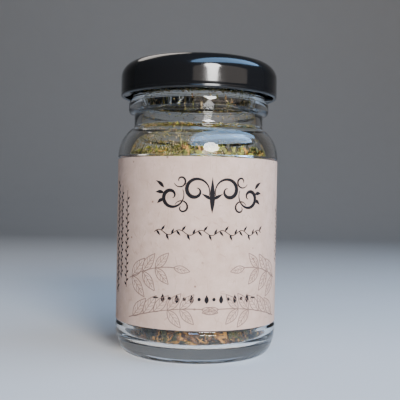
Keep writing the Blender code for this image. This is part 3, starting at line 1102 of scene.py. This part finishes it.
def light(name, place, target, size, power, colour):
    """A soft oval light, placed in metres and turned to its target."""
    lamp = bpy.data.lights.new(name, "AREA")
    lamp.shape = "ELLIPSE"
    lamp.size, lamp.size_y = size
    lamp.energy = power
    lamp.color = colour
    holder = bpy.data.objects.new(name, lamp)
    holder.location = place
    holder.rotation_euler = (Vector(target) - Vector(place)).to_track_quat("-Z", "Y").to_euler()
    bpy.context.scene.collection.objects.link(holder)


def make_lights(settings):
    """Four soft lights and an even surround."""
    middle = (0.0, 0.0, 0.05)
    near_lid = (0.02, 0.0, 0.08)
    lights = (
        ("key_light", (0.155, -0.46, 0.25), middle, (0.19, 0.22), settings.key_power, (1.0, 0.98, 0.96)),
        ("front_light", (0.65, -1.05, 0.36), middle, (2.1, 0.4), settings.front_power, (1.0, 0.87, 0.76)),
        ("top_light", (0.16, -0.12, 0.38), near_lid, (0.72, 0.2), settings.top_power, (0.32, 0.59, 1.0)),
        ("back_light", (-0.19, 0.32, 0.5), middle, (0.36, 0.24), settings.back_power, (1.0, 0.92, 0.84)),
    )
    for values in lights:
        light(*values)
    world = bpy.data.worlds.new("soft_studio")
    world.use_nodes = True
    sky = world.node_tree.nodes["Background"]
    sky.inputs["Color"].default_value = (0.8, 0.83, 0.88, 1.0)
    sky.inputs["Strength"].default_value = settings.world_strength
    bpy.context.scene.world = world


def make_camera(settings):
    """The camera, level with the middle of the jar and close in front of it."""
    lens = bpy.data.cameras.new("camera")
    lens.sensor_width = 36.0
    lens.lens = settings.lens
    lens.clip_start = 0.01
    view = bpy.data.objects.new("camera", lens)
    view.location = (0.00095, -0.2306, 0.0490)
    view.rotation_euler = (math.radians(90.0), settings.roll, 0.0)
    bpy.context.scene.collection.objects.link(view)
    bpy.context.scene.camera = view


# Settings that a user would change


def colour_prop(name, default, description):
    return FloatVectorProperty(
        name=name, description=description, default=default, size=3, min=0.0, max=1.0, subtype="COLOR"
    )


def power_prop(name, default, description):
    return FloatProperty(name=name, description=description, default=default, min=0.0, unit="POWER")


class SpiceJarSettings(bpy.types.PropertyGroup):
    """Colours and amounts of the spice jar."""

    glass_tint: colour_prop("Glass tint", (0.975, 0.99, 0.985), "Colour of the clear glass")
    paper_colour: colour_prop("Paper", (0.62, 0.435, 0.35), "Ground colour of the label paper")
    ink_colour: colour_prop("Ink", (0.008, 0.006, 0.007), "Black ink of the ornament")
    sprig_colour: colour_prop("Garland ink", (0.2, 0.13, 0.105), "Faded ink of the garlands")
    print_shift: FloatProperty(
        name="Print position",
        description="How far the print's middle lies to the right of the front",
        default=0.0046,
        min=-0.02,
        max=0.02,
        unit="LENGTH",
    )
    olive: colour_prop("Olive leaf", (0.062, 0.06, 0.007), "Olive scraps")
    yellow_green: colour_prop("Yellow-green leaf", (0.13, 0.12, 0.009), "Bright scraps")
    brown: colour_prop("Brown leaf", (0.09, 0.036, 0.006), "Brown scraps")
    straw: colour_prop("Straw", (0.27, 0.13, 0.022), "Stems and straw-coloured scraps")
    shade: colour_prop("Dark leaf", (0.012, 0.01, 0.003), "Dark scraps")
    dust: colour_prop("Herb dust", (0.33, 0.245, 0.12), "Fine dust on the glass")
    # Painted shade: the near-black colour of the fill's middle stands for the shade deep among the scraps.
    packed_shade: colour_prop("Packed leaf", (0.008, 0.006, 0.0025), "The packed middle of the fill")
    top_scraps: IntProperty(
        name="Top scraps", description="Loose scraps on the heap", default=1700, min=100, max=4000
    )
    dust_specks: IntProperty(
        name="Dust specks", description="Specks on the inner wall", default=9000, min=0, max=12000
    )
    lacquer: colour_prop("Lacquer", (0.006, 0.006, 0.0065), "Black lacquer of the lid")
    seal_colour: colour_prop("Seal", (0.72, 0.71, 0.67), "Sealing ring")
    floor_colour: colour_prop("Floor", (0.58, 0.565, 0.55), "Pale floor")
    key_power: power_prop("Key light", 4.4, "Power of the main light")
    front_power: power_prop("Front light", 2.4, "Power of the wide warm front light")
    top_power: power_prop("Top light", 2.8, "Power of the cool top light")
    back_power: power_prop("Back light", 0.6, "Power of the small back light")
    world_strength: FloatProperty(
        name="Surround", description="Strength of the even light", default=0.06, min=0.0
    )
    lens: FloatProperty(
        name="Lens", description="Focal length of the camera", default=63.0, min=10.0, unit="CAMERA"
    )
    roll: FloatProperty(
        name="Roll",
        description="Camera roll",
        default=math.radians(-1.0),
        min=math.radians(-10.0),
        max=math.radians(10.0),
        subtype="ANGLE",
    )


# Operators


class SPICEJAR_OT_glass(bpy.types.Operator):
    """Build the clear glass jar"""

    bl_idname = "spice_jar.glass"
    bl_label = "Glass jar"

    def execute(self, context):
        jar = make_glass(context.scene.spice_jar)
        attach(jar, "jar")
        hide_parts("glass_jar")
        return {"FINISHED"}


class SPICEJAR_OT_label(bpy.types.Operator):
    """Build the paper label and its print"""

    bl_idname = "spice_jar.label"
    bl_label = "Paper label"

    def execute(self, context):
        settings = context.scene.spice_jar
        label = make_label(settings)
        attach(label, "jar")
        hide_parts("paper_label")
        for piece in make_print(settings):
            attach(piece, "jar")
        return {"FINISHED"}


class SPICEJAR_OT_herb(bpy.types.Operator):
    """Build the fill of dried tarragon"""

    bl_idname = "spice_jar.herb"
    bl_label = "Dried tarragon"

    def execute(self, context):
        settings = context.scene.spice_jar
        for make in (make_herb_core, make_wall_scraps, make_top_scraps, make_dust):
            piece = make(settings)
            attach(piece, "jar")
            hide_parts("dried_tarragon")
        return {"FINISHED"}


class SPICEJAR_OT_lid(bpy.types.Operator):
    """Build the black lid with its lugs"""

    bl_idname = "spice_jar.lid"
    bl_label = "Twist-off lid"

    def execute(self, context):
        for piece in make_lid(context.scene.spice_jar):
            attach(piece, "lid")
            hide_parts("lid_shell")
        return {"FINISHED"}


class SPICEJAR_OT_seal(bpy.types.Operator):
    """Build the sealing ring under the lid"""

    bl_idname = "spice_jar.seal"
    bl_label = "Sealing ring"

    def execute(self, context):
        seal = make_seal(context.scene.spice_jar)
        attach(seal, "seal")
        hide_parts("lid_seal")
        return {"FINISHED"}


class SPICEJAR_OT_stage(bpy.types.Operator):
    """Set the pale floor, the soft lights and the camera"""

    bl_idname = "spice_jar.stage"
    bl_label = "Stage"

    def execute(self, context):
        settings = context.scene.spice_jar
        make_floor(settings)
        make_lights(settings)
        make_camera(settings)
        return {"FINISHED"}


class SPICEJAR_PT_panel(bpy.types.Panel):
    """Lists the pieces and their settings"""

    bl_label = "Spice Jar"
    bl_idname = "SPICEJAR_PT_panel"
    bl_space_type = "VIEW_3D"
    bl_region_type = "UI"
    bl_category = "Spice Jar"

    def draw(self, context):
        for operator in OPERATORS:
            self.layout.operator(operator.bl_idname)
        for name in SpiceJarSettings.__annotations__:
            self.layout.prop(context.scene.spice_jar, name)


OPERATORS = (
    SPICEJAR_OT_glass,
    SPICEJAR_OT_label,
    SPICEJAR_OT_herb,
    SPICEJAR_OT_lid,
    SPICEJAR_OT_seal,
    SPICEJAR_OT_stage,
)
CLASSES = (SpiceJarSettings, *OPERATORS, SPICEJAR_PT_panel)


def register():
    for item in CLASSES:
        bpy.utils.register_class(item)
    bpy.types.Scene.spice_jar = PointerProperty(type=SpiceJarSettings)


def unregister():
    del bpy.types.Scene.spice_jar
    for item in reversed(CLASSES):
        bpy.utils.unregister_class(item)


def main():
    register()
    bpy.ops.spice_jar.glass()
    bpy.ops.spice_jar.label()
    bpy.ops.spice_jar.herb()
    bpy.ops.spice_jar.lid()
    bpy.ops.spice_jar.seal()
    bpy.ops.spice_jar.stage()


if __name__ == "__main__":
    main()
